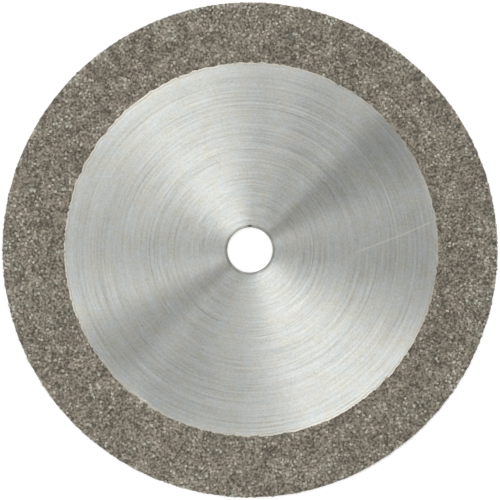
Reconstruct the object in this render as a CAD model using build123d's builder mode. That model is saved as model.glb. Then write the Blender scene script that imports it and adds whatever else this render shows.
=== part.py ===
from build123d import *

import os

# A double-sided diamond cutting disc for a small rotary tool, lying flat.
# +Z is the disc's axis, and the origin is the centre of its bore, midway between its faces.
# All sizes are in millimetres.

# Steel blank
disc_diameter = 22.0  # over the grit on the rim
bore_diameter = 2.0
blank_thickness = 0.3
bore_edge_break = 0.05  # deburred edge of the punched bore
blank_edge_break = 0.05  # deburred outer edge of the blank, under the plating

# Plated abrasive
grit_thickness = 0.1  # nickel and one layer of diamond, the same on the faces and on the rim
band_width = 2.7  # from the rim to the inner edge of the grit, on each face
grit_slope_run = 0.06  # radial run over which the grit rises to its full thickness
border_width = 0.1  # bare nickel that crept in under the plating mask
border_thickness = 0.02

disc_radius = disc_diameter / 2
band_inner_radius = disc_radius - band_width
border_inner_radius = band_inner_radius - border_width
blank_radius = disc_radius - grit_thickness
blank_face_z = blank_thickness / 2
grit_face_z = blank_face_z + grit_thickness
border_face_z = blank_face_z + border_thickness
rim_corner_radius = blank_edge_break + grit_thickness  # the plating rounds off the blank's edge

# The blank is punched from sheet, deburred on both faces and brushed in circles
with BuildPart() as steel_blank:
    with BuildSketch(Plane.XY.offset(-blank_face_z)):
        Circle(blank_radius)
        Circle(bore_diameter / 2, mode=Mode.SUBTRACT)
    extrude(amount=blank_thickness)
    edges_by_radius = steel_blank.edges().filter_by(GeomType.CIRCLE).group_by(SortBy.RADIUS)
    chamfer(edges_by_radius[0], bore_edge_break)
    chamfer(edges_by_radius[-1], blank_edge_break)
steel_blank.part.label = "steel_blank"

# The abrasive is plated over the blank's rim: its section is a U that wraps both faces,
# with a low border of bare nickel, then a short slope up to the full layer of grit
with BuildPart() as grit_rim:
    with BuildSketch(Plane.XZ) as coated_section:
        upper_outline = [
            (border_inner_radius, border_face_z),
            (band_inner_radius, border_face_z),
            (band_inner_radius + grit_slope_run, grit_face_z),
            (disc_radius, grit_face_z),
        ]
        lower_outline = [(radius, -height) for radius, height in reversed(upper_outline)]
        with BuildLine():
            Polyline(*upper_outline, *lower_outline, close=True)
        make_face()
        rim_corners = coated_section.vertices().group_by(Axis.X)[-1]
        fillet(rim_corners, rim_corner_radius)
    revolve(axis=Axis.Z)
    add(steel_blank.part, mode=Mode.SUBTRACT)
grit_rim.part.label = "grit_rim"

os.makedirs("parts", exist_ok=True)
for piece in (steel_blank, grit_rim):
    export_step(piece.part, f"parts/{piece.part.label}.step")
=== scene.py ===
import math
import random

import bmesh
import bpy
from mathutils import Euler, Matrix, Vector, noise


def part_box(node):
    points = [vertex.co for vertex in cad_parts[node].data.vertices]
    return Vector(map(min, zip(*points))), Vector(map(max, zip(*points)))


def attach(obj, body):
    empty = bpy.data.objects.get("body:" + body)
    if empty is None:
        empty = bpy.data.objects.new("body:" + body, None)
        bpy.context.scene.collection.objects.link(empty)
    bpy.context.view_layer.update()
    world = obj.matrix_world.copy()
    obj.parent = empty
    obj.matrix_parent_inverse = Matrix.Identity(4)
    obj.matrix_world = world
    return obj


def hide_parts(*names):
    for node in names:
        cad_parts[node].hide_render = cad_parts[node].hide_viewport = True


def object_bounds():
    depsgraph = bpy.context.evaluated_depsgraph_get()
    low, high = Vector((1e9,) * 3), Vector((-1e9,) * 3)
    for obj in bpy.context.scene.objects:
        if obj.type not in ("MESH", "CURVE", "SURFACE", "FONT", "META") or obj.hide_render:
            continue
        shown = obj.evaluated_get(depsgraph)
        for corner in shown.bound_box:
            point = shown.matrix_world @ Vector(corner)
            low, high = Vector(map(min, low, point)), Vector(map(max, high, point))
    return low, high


# A double-sided diamond cutting disc for a small rotary tool, lying flat on a pale table.
# +Z is the disc's axis, the origin is the centre of its bore, and all sizes are in metres.

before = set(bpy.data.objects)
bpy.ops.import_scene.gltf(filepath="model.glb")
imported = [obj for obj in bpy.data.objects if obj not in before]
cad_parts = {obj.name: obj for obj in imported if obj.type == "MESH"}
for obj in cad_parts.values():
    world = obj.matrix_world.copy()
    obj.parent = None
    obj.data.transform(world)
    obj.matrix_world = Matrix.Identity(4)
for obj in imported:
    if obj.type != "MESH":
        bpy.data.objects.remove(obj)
cad_low, cad_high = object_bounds()


# Steel blank
# A thin round blank, punched from spring steel with a bore for the screw mandrel. Both faces
# were ground on a turning table, which left fine rings round the axis, and one scratch since.

MM = 0.001
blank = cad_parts["steel_blank"]
blank_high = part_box("steel_blank")[1]
blank_radius = blank_high.x
blank_face = blank_high.z
bore_lip = 1.05 * MM  # the outer edge of the bore's chamfer, on the face
steel_warm = (0.452, 0.444, 0.398)
steel_cool = (0.408, 0.432, 0.428)
steel_roughness = (0.29, 0.325)
# Painted shade: dark on the bore's chamfered edge, and in a small notch at its top
bore_edge_shade_colour = (0.16, 0.15, 0.13)
notch_shade_colour = (0.07, 0.065, 0.055)

# Grinding rings: some run all the way round, some for a third of a turn, some are short
grinding_rings = (  # pitch across the grooves in mm, reach along them, and share of the marks
    (0.11, 6.0, 0.3),
    (0.09, 0.9, 0.4),
    (0.06, 0.22, 0.3),
)
ring_depth = (0.6, 1.5)  # from the faintest marks to the strongest
ring_shade = 0.85
hub_shine = 1.035  # where the mandrel's washer has rubbed the hub
margin_shine = 0.08  # where the margin was buffed for the plating mask
speck_size = 0.085 * MM
speck_shade = 0.44
patch_size = 0.42 * MM
patch_shade = 0.34
cloud_size = 1.8 * MM
cloud_shade = -0.19

stroke_width = 0.05 * MM
scratch_shade = (0.62, 0.60, 0.53)
surface_strokes = (  # start, end and bend radius in mm, depth, and the colour it lays bare
    ((4.50, -0.16, 0.0), (8.30, 1.36, 0.0), 40.0, 0.65, scratch_shade),
    ((-4.90, -3.70, 0.0), (-3.75, -2.68, 0.0), 60.0, 0.24, scratch_shade),
    ((-2.51, -2.34, 0.0), (-1.285, -3.18, 0.0), 3.43, 0.3, (0.13, 0.13, 0.12)),
)


def start_material(name):
    """A new material, with its nodes and its shader."""
    material = bpy.data.materials.new(name)
    material.use_nodes = True
    tree = material.node_tree
    return material, tree, tree.nodes["Principled BSDF"]


def add_node(tree, kind, inputs=(), **settings):
    """A shader node with its settings made, and its inputs filled or linked."""
    made = tree.nodes.new(kind)
    for name, value in settings.items():
        setattr(made, name, value)
    for socket, value in dict(inputs).items():
        if isinstance(value, bpy.types.NodeSocket):
            tree.links.new(value, made.inputs[socket])
        else:
            made.inputs[socket].default_value = value
    return made


def calc(tree, operation, *values):
    """The result of a Math node on numbers or sockets."""
    return add_node(tree, "ShaderNodeMath", enumerate(values), operation=operation).outputs[0]


def calc_vector(tree, operation, *values):
    """A Vector Math node on vectors or sockets."""
    return add_node(tree, "ShaderNodeVectorMath", enumerate(values), operation=operation)


def times(tree, vector, factor):
    """A vector or a colour times a number or a socket."""
    scaled = add_node(tree, "ShaderNodeVectorMath", {0: vector, "Scale": factor}, operation="SCALE")
    return scaled.outputs["Vector"]


def add_shade(tree, pattern, weight, shade):
    """The shade with a pattern laid over it, which leaves it alone where the pattern is 0.5."""
    return calc(tree, "MULTIPLY_ADD", calc(tree, "SUBTRACT", pattern, 0.5), weight, shade)


def blotches(tree, place, size, detail=2.0, roughness=0.5):
    """Soft noise between 0 and 1, with blotches of about this size."""
    inputs = {"Vector": place, "Scale": 1 / size, "Detail": detail, "Roughness": roughness}
    return add_node(tree, "ShaderNodeTexNoise", inputs).outputs["Fac"]


def spread(tree, value, low, high, start=0.0, end=1.0):
    """low where value is at start, high where it is at end, straight between them."""
    inputs = {"Value": value, "From Min": start, "From Max": end, "To Min": low, "To Max": high}
    return add_node(tree, "ShaderNodeMapRange", inputs).outputs["Result"]


def fade(tree, value, start, end):
    """0 where value is at start, 1 where it is at end, smooth between them."""
    inputs = {"Value": value, "From Min": start, "From Max": end}
    made = add_node(tree, "ShaderNodeMapRange", inputs, interpolation_type="SMOOTHSTEP")
    return made.outputs["Result"]


def blend_colour(tree, factor, first, second, mode="MIX"):
    """Two colours mixed by a factor."""
    inputs = {0: factor, 6: first, 7: second}
    mix = add_node(tree, "ShaderNodeMix", inputs, data_type="RGBA", blend_type=mode)
    return mix.outputs[2]


def ring_noise(tree, radius, heading, groove_pitch, stroke_reach):
    """Noise that is short across the grooves and long along them: 1 of reach is about 60 degrees."""
    across = add_node(tree, "ShaderNodeCombineXYZ", {"Z": calc(tree, "DIVIDE", radius, groove_pitch)})
    along = times(tree, heading, 1 / stroke_reach)
    spot = calc_vector(tree, "ADD", across.outputs["Vector"], along).outputs["Vector"]
    return blotches(tree, spot, 1.0, detail=1.0)


def arc_mask(tree, flat, start, end, bend, half_width):
    """1 along a stretch of a wide arc from start to end, and 0 off it. Both ends fade out."""
    chord = end - start
    middle = (start + end) / 2
    upward = Vector((-chord.y, chord.x, 0.0)).normalized()
    centre = middle + upward * math.sqrt(bend**2 - (chord.length / 2) ** 2)
    from_centre = calc_vector(tree, "DISTANCE", flat, tuple(centre)).outputs["Value"]
    off_line = calc(tree, "ABSOLUTE", calc(tree, "SUBTRACT", from_centre, bend))
    from_middle = calc_vector(tree, "DISTANCE", flat, tuple(middle)).outputs["Value"]
    on_line = fade(tree, off_line, half_width, half_width * 0.2)
    within = fade(tree, from_middle, chord.length * 0.53, chord.length * 0.35)
    return calc(tree, "MULTIPLY", on_line, within)


def ground_metal(name, warm, cool):
    """Metal ground in rings, which draws each lamp out into a pair of lobes across the rings."""
    material, tree, shader = start_material(name)
    place = add_node(tree, "ShaderNodeTexCoord").outputs["Object"]
    flat = calc_vector(tree, "MULTIPLY", place, (1.0, 1.0, 0.0)).outputs["Vector"]
    radius = calc_vector(tree, "LENGTH", flat).outputs["Value"]
    heading = calc_vector(tree, "NORMALIZE", flat).outputs["Vector"]

    # The rings, cut deeper in some places than in others
    rings = 0.0
    for pitch, reach, share in grinding_rings:
        marks = ring_noise(tree, radius, heading, pitch * MM, reach)
        rings = calc(tree, "MULTIPLY_ADD", marks, share, rings)
    clouds = blotches(tree, place, cloud_size)
    depth = spread(tree, clouds, *ring_depth, start=0.35, end=0.65)
    swing = calc(tree, "MULTIPLY", calc(tree, "SUBTRACT", rings, 0.5), depth)

    # A rubbed hub, a buffed margin, and fine specks
    shade = spread(tree, radius, hub_shine, 1.0, start=1.5 * MM, end=6.0 * MM)
    buffed = fade(tree, radius, 7.75 * MM, 8.18 * MM)
    shade = calc(tree, "MULTIPLY_ADD", buffed, margin_shine, shade)
    shade = calc(tree, "MULTIPLY_ADD", swing, ring_shade, shade)
    shade = add_shade(tree, blotches(tree, place, speck_size), speck_shade, shade)

    # The tint: faintly warm and faintly blue patches, half a millimetre across
    patches = blotches(tree, place, patch_size, detail=3.0, roughness=0.75)
    shade = add_shade(tree, patches, patch_shade, shade)
    shade = add_shade(tree, clouds, cloud_shade, shade)
    tinted = blend_colour(tree, fade(tree, patches, 0.3, 0.7), (*warm, 1), (*cool, 1))
    colour = times(tree, tinted, shade)

    rough = spread(tree, rings, *steel_roughness, start=0.3, end=0.7)
    grooves = add_node(tree, "ShaderNodeBump", {"Height": rings, "Strength": 0.25, "Distance": 0.004 * MM})
    around = add_node(tree, "ShaderNodeTangent", direction_type="RADIAL", axis="Z")
    tree.links.new(colour, shader.inputs["Base Color"])
    tree.links.new(rough, shader.inputs["Roughness"])
    tree.links.new(grooves.outputs["Normal"], shader.inputs["Normal"])
    tree.links.new(around.outputs["Tangent"], shader.inputs["Tangent"])
    shader.inputs["Metallic"].default_value = 1.0
    shader.inputs["Anisotropic"].default_value = 0.998
    shader.inputs["Anisotropic Rotation"].default_value = 0.25
    return material, colour, place, flat, radius


def ground_steel():
    """The blank's steel: ground metal with painted shade on the bore's edge and in a punch notch, and
    scratches.
    """
    material, colour, place, flat, radius = ground_metal("ground_steel", steel_warm, steel_cool)
    tree = material.node_tree

    # Painted shade on the bore's chamfered edge, deeper in some places than in others, and a dark mark
    # painted as the shade in a notch at its top, where the punch tore
    outside = fade(tree, radius, bore_lip + 0.13 * MM, bore_lip + 0.01 * MM)
    inside = fade(tree, radius, bore_lip - 0.04 * MM, bore_lip - 0.005 * MM)
    bore_shade_depth = spread(tree, blotches(tree, place, 0.5 * MM), 0.3, 0.8, start=0.3, end=0.7)
    bore_edge_shade = calc(tree, "MULTIPLY", calc(tree, "MULTIPLY", outside, inside), bore_shade_depth)
    colour = blend_colour(tree, bore_edge_shade, colour, (*bore_edge_shade_colour, 1))
    notch_middle = (-0.01 * MM, bore_lip + 0.02 * MM, 0.0)
    notch_reach = (0.13 * MM, 0.045 * MM, 1.0)
    from_notch = calc_vector(tree, "SUBTRACT", place, notch_middle).outputs["Vector"]
    from_notch = calc_vector(tree, "DIVIDE", from_notch, notch_reach).outputs["Vector"]
    notch_shade = fade(tree, calc_vector(tree, "LENGTH", from_notch).outputs["Value"], 1.2, 0.6)
    colour = blend_colour(tree, calc(tree, "MULTIPLY", notch_shade, 0.95), colour, (*notch_shade_colour, 1))

    # Scratches and a dark stroke, on the upper face only
    height = add_node(tree, "ShaderNodeSeparateXYZ", {"Vector": place}).outputs["Z"]
    upper_face = calc(tree, "GREATER_THAN", height, blank_face * 0.9)
    for start, end, bend, depth, shade in surface_strokes:
        stroke = arc_mask(tree, flat, Vector(start) * MM, Vector(end) * MM, bend * MM, stroke_width)
        seen = calc(tree, "MULTIPLY", calc(tree, "MULTIPLY", stroke, upper_face), depth)
        colour = blend_colour(tree, seen, colour, (*shade, 1))
    tree.links.new(colour, tree.nodes["Principled BSDF"].inputs["Base Color"])
    return material


def dress(piece, *materials):
    """The piece takes these materials, and no others, in its slots."""
    slots = piece.data.materials
    for index, material in enumerate(materials):
        if index < len(slots):
            slots[index] = material
        else:
            slots.append(material)


dress(blank, ground_steel())


# Nickel bond
# The nickel that was plated over the blank's margin and rim, and that holds the diamond. It
# crept a little way in under the plating mask, as a smooth pale border round each face's grit.

grit_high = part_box("grit_rim")[1]
grit_radius = grit_high.x
grit_face = grit_high.z
band_edge = 8.3 * MM  # where the grit starts, on each face
border_width = 0.1 * MM
border_height = 0.02 * MM
border_warm = (0.505, 0.48, 0.42)
border_cool = (0.475, 0.465, 0.42)
nickel_height = 0.05 * MM  # half of the grains' height
nickel_rise = 0.05 * MM  # the run over which the nickel climbs from the border to the grit
nickel_rim = 0.03 * MM  # how far the nickel's rim lies inside the grains' outline
nickel_corner = 0.12 * MM
# Painted shade: the nickel's colour in the pits of its lumps, and on their crests
nickel_pit_shade = (0.126, 0.109, 0.083)
nickel_crest_colour = (0.350, 0.320, 0.265)
rows_across = 24
turns_round = 720
lump_size = 0.16 * MM
lump_height = 0.03 * MM
fine_lump_size = 0.11 * MM
fine_lump_height = 0.03 * MM
creep_height = 0.06 * MM  # how far the plating's edge wavers, in waves of half a millimetre
creep_waves = 25.0
ripple_height = 0.04 * MM  # and in finer waves on top
ripple_waves = 60.0
creep_reach = 0.4 * MM  # how far outside the grit's inner edge the nickel still follows the mask
map_half = 0.49  # half of the bake's map, with a margin left round it

# The mask didn't sit quite true, so each face's grit starts on a circle a little off the axis
mask_offsets = {1: Vector((0.053 * MM, 0.028 * MM, 0.0)), -1: Vector((-0.031 * MM, 0.044 * MM, 0.0))}


def plated_nickel():
    """Dull warm nickel, lumpy between the grains, with painted shade in the pits between its lumps."""
    material, tree, shader = start_material("plated_nickel")
    place = add_node(tree, "ShaderNodeTexCoord").outputs["Object"]
    lumps = blotches(tree, place, fine_lump_size, roughness=0.6)
    # Painted shade over the nickel's own dull tone: dark in the lumps' pits, pale on their crests
    colour = blend_colour(tree, fade(tree, lumps, 0.35, 0.65), (*nickel_pit_shade, 1), (*nickel_crest_colour, 1))
    clumps = spread(tree, blotches(tree, place, 0.45 * MM), 0.72, 1.28, start=0.3, end=0.7)
    relief = {"Height": lumps, "Strength": 1.0, "Distance": fine_lump_height}
    lumpy = add_node(tree, "ShaderNodeBump", relief)
    tree.links.new(times(tree, colour, clumps), shader.inputs["Base Color"])
    tree.links.new(spread(tree, lumps, 0.7, 0.45), shader.inputs["Roughness"])
    tree.links.new(lumpy.outputs["Normal"], shader.inputs["Normal"])
    shader.inputs["Metallic"].default_value = 1.0
    return material


def nickel_profile():
    """One side of the plating's section, from the rim's middle to the border's inner edge."""
    top = blank_face + nickel_height
    outer = grit_radius - nickel_rim
    points = [(outer, 0.0)]
    corner_steps = 5
    for step in range(corner_steps + 1):
        angle = math.radians(90.0) * step / corner_steps
        across = outer - nickel_corner + nickel_corner * math.cos(angle)
        height = top - nickel_corner + nickel_corner * math.sin(angle)
        points.append((across, height))
    start = outer - nickel_corner
    end = band_edge + nickel_rise
    for step in range(1, rows_across + 1):
        points.append((start + (end - start) * step / rows_across, top))
    points.append((band_edge, blank_face + border_height))
    points.append((band_edge - border_width + border_height, blank_face + border_height))
    points.append((band_edge - border_width, blank_face))
    return points


def mask_creep(outward, side):
    """How far the plating crept in or out under the mask's edge, in one direction from the axis."""
    return noise.noise(outward * creep_waves + Vector((0, 0, side * 9.0))) * creep_height


def plate_nickel():
    """The section is spun round the axis, lumps are raised on it, and its edge follows the mask's."""
    border_top = blank_face + border_height * 1.1
    ring = bmesh.new()
    upper = nickel_profile()
    lower = [(radius, -height) for radius, height in reversed(upper[1:])]
    inner_lower = [(blank_radius, -blank_face)]
    inner_upper = [(blank_radius, blank_face)]
    section = lower + upper + inner_upper + inner_lower
    corners = [ring.verts.new((radius, 0.0, height)) for radius, height in section]
    for corner, following in zip(corners, corners[1:] + corners[:1]):
        ring.edges.new((corner, following))
    bmesh.ops.spin(
        ring, geom=ring.verts[:] + ring.edges[:], axis=(0, 0, 1), cent=(0, 0, 0),
        angle=math.tau, steps=turns_round, use_merge=True,
    )
    for vert in ring.verts:
        if abs(vert.co.z) > border_top:
            vert.co.z += math.copysign(noise.noise(vert.co / lump_size) * lump_height, vert.co.z)
        radius = math.hypot(vert.co.x, vert.co.y)
        near_edge = min(1.0, max(0.0, (band_edge + creep_reach - radius) / creep_reach))
        if near_edge > 0.0:
            side = 1 if vert.co.z > 0 else -1
            outward = Vector((vert.co.x, vert.co.y, 0.0)).normalized()
            row = Vector((0, 0, side * 9.0 + radius / (0.1 * MM)))
            ripple = noise.noise(outward * ripple_waves + row) * ripple_height
            vert.co += near_edge * (mask_offsets[side] + outward * (mask_creep(outward, side) + ripple))
    bmesh.ops.recalc_face_normals(ring, faces=ring.faces)
    for face in ring.faces:
        face.smooth = True
        on_border = all(abs(vert.co.z) < border_top for vert in face.verts)
        face.material_index = 1 if on_border and abs(face.normal.z) > 0.5 else 0
    mesh = bpy.data.meshes.new("nickel_bond")
    ring.to_mesh(mesh)
    ring.free()
    mesh.set_sharp_from_angle(angle=math.radians(25.0))
    return mesh


def map_flat(mesh):
    """The bake's map: the piece as seen from above."""
    spots = mesh.uv_layers.new(name="OFBake").data
    for corner, spot in zip(mesh.loops, spots):
        at = mesh.vertices[corner.vertex_index].co
        spot.uv = (0.5 + map_half * at.x / grit_radius, 0.5 + map_half * at.y / grit_radius)


def show(name, mesh, *materials):
    """A piece of the plating, riding on the disc."""
    piece = bpy.data.objects.new(name, mesh)
    bpy.context.scene.collection.objects.link(piece)
    dress(piece, *materials)
    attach(piece, "root")
    return piece


nickel_mesh = plate_nickel()
map_flat(nickel_mesh)
border_nickel = ground_metal("border_nickel", border_warm, border_cool)[0]
nickel_bond = show("nickel_bond", nickel_mesh, plated_nickel(), border_nickel)
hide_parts("grit_rim")


# Diamond grains
# One layer of blocky man-made diamond, sown on the blank while the nickel grew round it. The
# grains stand about half out of the nickel, their tips level with the grit's faces.

grain_size = (0.105 * MM, 0.21 * MM)
grains_per_square_mm = 38
grain_gap = 0.114 * MM  # between neighbours' centres, at the least
edge_margin = 0.025 * MM  # from the grit's inner edge to the first tips
tip_depth = 0.014 * MM  # how far a tip usually lies under the grit's level
rim_corner = 0.15 * MM
rim_reach = (0.008 * MM, 0.007 * MM)  # how far the rim's tips stand past the solid's rim, and the scatter
crystal_block = 0.82
crystal_chip = 0.09
tone_scatter = (0.46, 0.28)
tone_clusters = ((0.5, 0.25 * MM), (0.45, 0.7 * MM))  # how much like its neighbours a grain is
rim_tone = 0.12  # the grit is a little paler toward the rim
grain_shades = (  # the tone, and the diamond's colour at it
    (0.0, (0.066, 0.056, 0.041)),
    (0.5, (0.261, 0.235, 0.190)),
    (0.8, (0.400, 0.381, 0.330)),
    (1.0, (0.508, 0.498, 0.440)),
)
warm_cast = (1.11, 1.0, 0.94)
cool_cast = (0.94, 1.01, 0.99)
dice = random.Random(7)


def cut_crystal():
    """A crystal 1 across: a cube with its corners cut off to the middle of its edges, then chipped."""
    block = bmesh.new()
    bmesh.ops.create_cube(block, size=crystal_block)
    bmesh.ops.bevel(
        block, geom=block.verts[:], offset=crystal_block / 2, offset_type="OFFSET", affect="VERTICES",
        segments=1, profile=0.5, material=-1,
    )
    bmesh.ops.remove_doubles(block, verts=block.verts, dist=0.02)
    for vert in block.verts:
        vert.co += Vector([dice.uniform(-crystal_chip, crystal_chip) for _ in range(3)])
    bmesh.ops.triangulate(block, faces=block.faces)
    bmesh.ops.recalc_face_normals(block, faces=block.faces)
    mesh = bpy.data.meshes.new("crystal")
    block.to_mesh(mesh)
    block.free()
    for layer_name in ("grain_tone", "grain_tint"):
        mesh.attributes.new(layer_name, "FLOAT", "FACE")
    return mesh


crystals = [cut_crystal() for _ in range(8)]


def face_tip(side):
    """A random tip on one face's grit, and the way that it points."""
    inner, outer = band_edge + edge_margin, grit_radius - rim_corner
    radius = math.sqrt(dice.uniform(inner**2, outer**2))
    angle = dice.uniform(0.0, math.tau)
    outward = Vector((math.cos(angle), math.sin(angle), 0.0))
    near_edge = (outer - radius) / (outer - inner)
    offset = (mask_offsets[side] + outward * mask_creep(outward, side)) * near_edge
    return outward * radius + offset + Vector((0, 0, side * grit_face)), Vector((0, 0, side))


def rim_tip():
    """A random tip round the rim, on its straight edge or on either of its rounded corners."""
    straight = 2 * (grit_face - rim_corner)
    corner = math.radians(90.0) * rim_corner
    along = dice.uniform(-straight / 2 - corner, straight / 2 + corner)
    lift = min(max(along, -straight / 2), straight / 2)
    tilt = (along - lift) / rim_corner
    angle = dice.uniform(0.0, math.tau)
    outward = Vector((math.cos(angle), math.sin(angle), 0.0))
    pointing = outward * math.cos(tilt) + Vector((0, 0, math.sin(tilt)))
    reach = grit_radius - rim_corner + dice.gauss(*rim_reach)
    return outward * reach + Vector((0, 0, lift)) + pointing * rim_corner, pointing


def sow(throw, wanted):
    """Tips thrown at random, each kept if it lands clear of those already down."""
    kept, cells = [], {}
    for _ in range(wanted * 14):
        tip, pointing = throw()
        cell = tuple(math.floor(x / grain_gap) for x in tip)
        around = [
            other
            for dx in (-1, 0, 1) for dy in (-1, 0, 1) for dz in (-1, 0, 1)
            for other in cells.get((cell[0] + dx, cell[1] + dy, cell[2] + dz), ())
        ]
        if all((tip - other).length > grain_gap for other in around):
            cells.setdefault(cell, []).append(tip)
            kept.append((tip, pointing))
        if len(kept) == wanted:
            break
    return kept


def seat_grains(name, tips):
    """Each grain is a crystal turned at random, with its tip a little under the grit's level."""
    layer = bmesh.new()
    for tip, pointing in tips:
        size = dice.triangular(*grain_size)
        turn = Euler([dice.uniform(0.0, math.tau) for _ in range(3)]).to_matrix().to_4x4()
        stretch = Matrix.Diagonal((size, size * dice.uniform(0.8, 1.0), size * dice.uniform(0.7, 1.0), 1.0))
        grain = dice.choice(crystals).copy()
        grain.transform(turn @ stretch)
        crest = max(vert.co.dot(pointing) for vert in grain.vertices)
        sunk = crest + abs(dice.gauss(0.0, tip_depth))
        grain.transform(Matrix.Translation(tip - pointing * sunk))
        over = max(0.0, max(abs(vert.co.z) for vert in grain.vertices) - grit_face)
        grain.transform(Matrix.Translation((0.0, 0.0, -math.copysign(over, tip.z))))
        across = (math.hypot(tip.x, tip.y) - band_edge) / (grit_radius - band_edge)
        tone = dice.gauss(*tone_scatter) + rim_tone * (across - 0.55)
        for weight, cluster_size in tone_clusters:
            tone += weight * noise.noise(tip / cluster_size)
        tone = min(1.0, max(0.0, tone))
        for layer_name, value in (("grain_tone", tone), ("grain_tint", dice.random())):
            grain.attributes[layer_name].data.foreach_set("value", [value] * len(grain.polygons))
        layer.from_mesh(grain)
        bpy.data.meshes.remove(grain)
    mesh = bpy.data.meshes.new(name)
    layer.to_mesh(mesh)
    layer.free()
    return mesh


def grain_diamond():
    """Grey-brown diamond: each grain has its own tone, and its flat facets glint."""
    material, tree, shader = start_material("grain_diamond")
    place = add_node(tree, "ShaderNodeTexCoord").outputs["Object"]
    tone = add_node(tree, "ShaderNodeAttribute", attribute_name="grain_tone").outputs["Fac"]
    ramp = add_node(tree, "ShaderNodeValToRGB", {"Fac": tone})
    stops = ramp.color_ramp.elements
    for index, (spot, colour) in enumerate(grain_shades):
        stop = stops[index] if index < 2 else stops.new(spot)
        stop.position = spot
        stop.color = (*colour, 1.0)
    tint = add_node(tree, "ShaderNodeAttribute", attribute_name="grain_tint").outputs["Fac"]
    cast = blend_colour(tree, tint, (*warm_cast, 1), (*cool_cast, 1))
    colour = blend_colour(tree, 1.0, ramp.outputs["Color"], cast, "MULTIPLY")
    smear = blotches(tree, place, 0.05 * MM)
    tree.links.new(colour, shader.inputs["Base Color"])
    tree.links.new(spread(tree, smear, 0.34, 0.7), shader.inputs["Roughness"])
    shader.inputs["IOR"].default_value = 1.65
    return material


def map_round(mesh):
    """The bake's map of the rim: unrolled, with the turn about the axis across it."""
    spots = mesh.uv_layers.new(name="OFBake").data
    for face in mesh.polygons:
        turn = math.atan2(face.center.y, face.center.x)
        for index in face.loop_indices:
            at = mesh.vertices[mesh.loops[index].vertex_index].co
            offset = (math.atan2(at.y, at.x) - turn + math.pi) % math.tau - math.pi
            around = (turn + offset) / math.pi
            spots[index].uv = (0.5 + map_half * around, 0.5 + map_half * at.z / grit_face)


face_area = math.pi * ((grit_radius - rim_corner) ** 2 - band_edge**2) / MM**2
rim_area = math.tau * grit_radius * (2 * (grit_face - rim_corner) + math.pi * rim_corner) / MM**2
diamond = grain_diamond()
for name, side in (("upper_diamond_grains", 1), ("lower_diamond_grains", -1)):
    face_grains = seat_grains(name, sow(lambda: face_tip(side), round(face_area * grains_per_square_mm)))
    map_flat(face_grains)
    show(name, face_grains, diamond)
rim_grains = seat_grains("rim_diamond_grains", sow(rim_tip, round(rim_area * grains_per_square_mm)))
map_round(rim_grains)
show("rim_diamond_grains", rim_grains, diamond)
for crystal in crystals:
    bpy.data.meshes.remove(crystal)


# Table
# A plain white sheet under the disc. It shows white to the camera and in reflections, and
# keeps the disc's soft shadow.

table_size = 0.8
paper_colour = (0.8, 0.8, 0.8)
paper_lift = (0.5, 0.5, 0.5)  # what the camera sees on top of the light that falls on the sheet


def white_sheet():
    """White paper that the camera sees a little brighter than it is lit."""
    material, tree, paper = start_material("white_sheet")
    paper.inputs["Base Color"].default_value = (*paper_colour, 1)
    paper.inputs["Roughness"].default_value = 0.9
    ray = add_node(tree, "ShaderNodeLightPath").outputs
    seen = calc(tree, "MAXIMUM", ray["Is Camera Ray"], ray["Is Glossy Ray"])
    seen = calc(tree, "MAXIMUM", seen, ray["Is Transmission Ray"])
    tree.links.new(seen, paper.inputs["Emission Strength"])
    paper.inputs["Emission Color"].default_value = (*paper_lift, 1)
    return material


sheet = bmesh.new()
bmesh.ops.create_grid(sheet, x_segments=1, y_segments=1, size=table_size / 2)
bmesh.ops.translate(sheet, verts=sheet.verts, vec=(0, 0, cad_low.z))
sheet_mesh = bpy.data.meshes.new("table")
sheet.to_mesh(sheet_mesh)
sheet.free()
table = bpy.data.objects.new("table", sheet_mesh)
bpy.context.scene.collection.objects.link(table)
dress(table, white_sheet())


# Studio light
# Seven soft lamps round the disc, and a pale room that is white round the horizon and dim
# overhead. Each lamp draws its own pair of bright lobes across the grinding marks.

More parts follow.
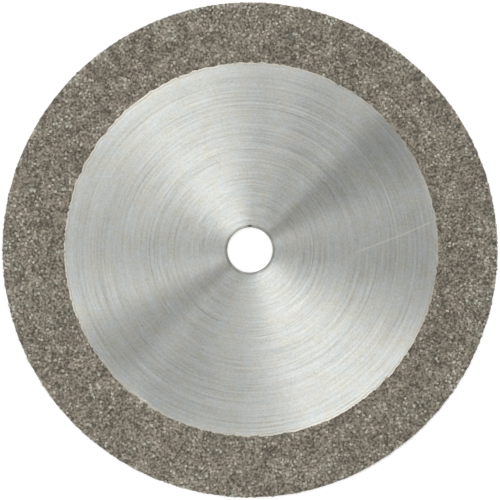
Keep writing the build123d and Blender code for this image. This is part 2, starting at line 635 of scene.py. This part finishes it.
lamp_distance = 0.12
lamps = (  # azimuth and zenith angle in degrees, width and height in metres, light on the disc
    (109.4, 9.9, 0.022, 0.014, 0.189),
    (229.3, 23.5, 0.096, 0.015, 0.268),
    (307.0, 16.5, 0.035, 0.030, 0.352),
    (179.9, 19.1, 0.042, 0.058, 0.379),
    (64.1, 47.4, 0.054, 0.007, 0.840),
    (200.0, 46.0, 0.012, 0.012, 0.100),
    (228.0, 46.0, 0.012, 0.012, 0.082),
)
for index, (azimuth, zenith, width, height, level) in enumerate(lamps):
    light = bpy.data.lights.new(f"lamp_{index + 1}", "AREA")
    light.shape = "RECTANGLE"
    light.size = width
    light.size_y = height
    light.energy = math.pi * level * lamp_distance**2
    lamp = bpy.data.objects.new(light.name, light)
    toward = Vector((0, 0, 1))
    toward.rotate(Euler((0.0, math.radians(zenith), math.radians(azimuth))))
    lamp.location = toward * lamp_distance
    lamp.rotation_euler = toward.to_track_quat("Z", "Y").to_euler()
    lamp.visible_camera = False
    bpy.context.scene.collection.objects.link(lamp)

room = bpy.data.worlds.new("room")
room.use_nodes = True
bpy.context.scene.world = room
sky = room.node_tree
direction = add_node(sky, "ShaderNodeTexCoord").outputs["Generated"]
rise = add_node(sky, "ShaderNodeSeparateXYZ", {"Vector": direction}).outputs["Z"]
elevation = calc(sky, "DEGREES", calc(sky, "ARCSINE", rise))
overhead = fade(sky, elevation, 20.0, 45.0)
strength = spread(sky, overhead, 1.0, 0.12)
sky.links.new(strength, sky.nodes["Background"].inputs["Strength"])
sky.nodes["Background"].inputs["Color"].default_value = (1, 1, 1, 1)


# Camera
# Straight above the disc, which fills the frame, with the photograph's top as +Y.

view_width = 22.197 * MM  # across the frame, at the disc's mid-thickness
camera_data = bpy.data.cameras.new("camera")
camera_data.lens = 200.0
camera_data.sensor_width = 36.0
camera_data.clip_start = 0.001
camera_data.clip_end = 10.0
camera = bpy.data.objects.new("camera", camera_data)
camera.location = (0.0, 0.0, view_width * camera_data.lens / camera_data.sensor_width)
bpy.context.scene.collection.objects.link(camera)
bpy.context.scene.camera = camera
bpy.context.scene.view_settings.view_transform = "Standard"
